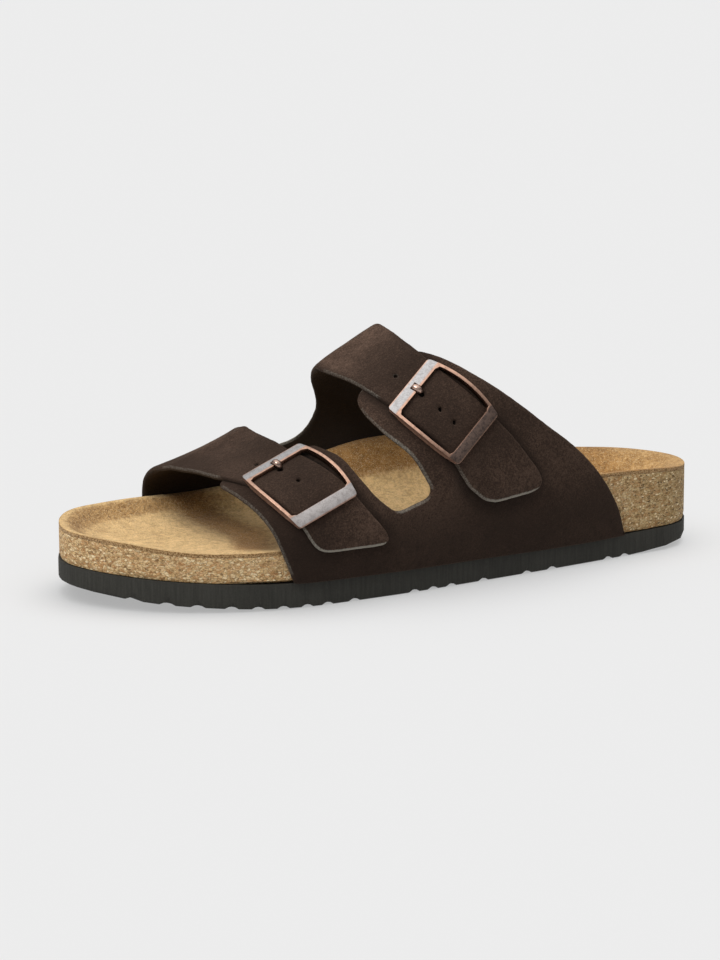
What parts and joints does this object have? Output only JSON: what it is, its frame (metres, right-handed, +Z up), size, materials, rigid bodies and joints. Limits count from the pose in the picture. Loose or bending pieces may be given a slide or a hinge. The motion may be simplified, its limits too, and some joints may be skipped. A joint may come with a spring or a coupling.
{
  "type": "buckle sandal",
  "caption": "Left slip-on sandal with a contoured cork footbed, suede straps fastened by metal buckles on the outer side, and a grooved flexible outsole.",
  "frame": {"origin": "centre of the bounding box at the plane that the sole stands on", "axes": "+X to the toe, +Y to the outer side of the foot, +Z up"},
  "size_m": [0.2792, 0.1086, 0.0994],
  "materials": {
    "outsole": "matt dark grey foam with fine upright striations on its edge",
    "cork": "sealed pressed cork with light and dark granules",
    "lining": "tan suede lining",
    "suede": "dark brown suede with raw cut edges",
    "copper": "antique copper plating, brushed to grey on the flat bars"
  },
  "bodies": {
    "root": {"outsole": "outsole", "footbed": "cork", "insole": "lining", "upper": "suede", "buckle_frame_front": "copper", "buckle_frame_rear": "copper", "buckle_prong_front": "copper", "buckle_prong_rear": "copper"}
  },
  "joints": []
}
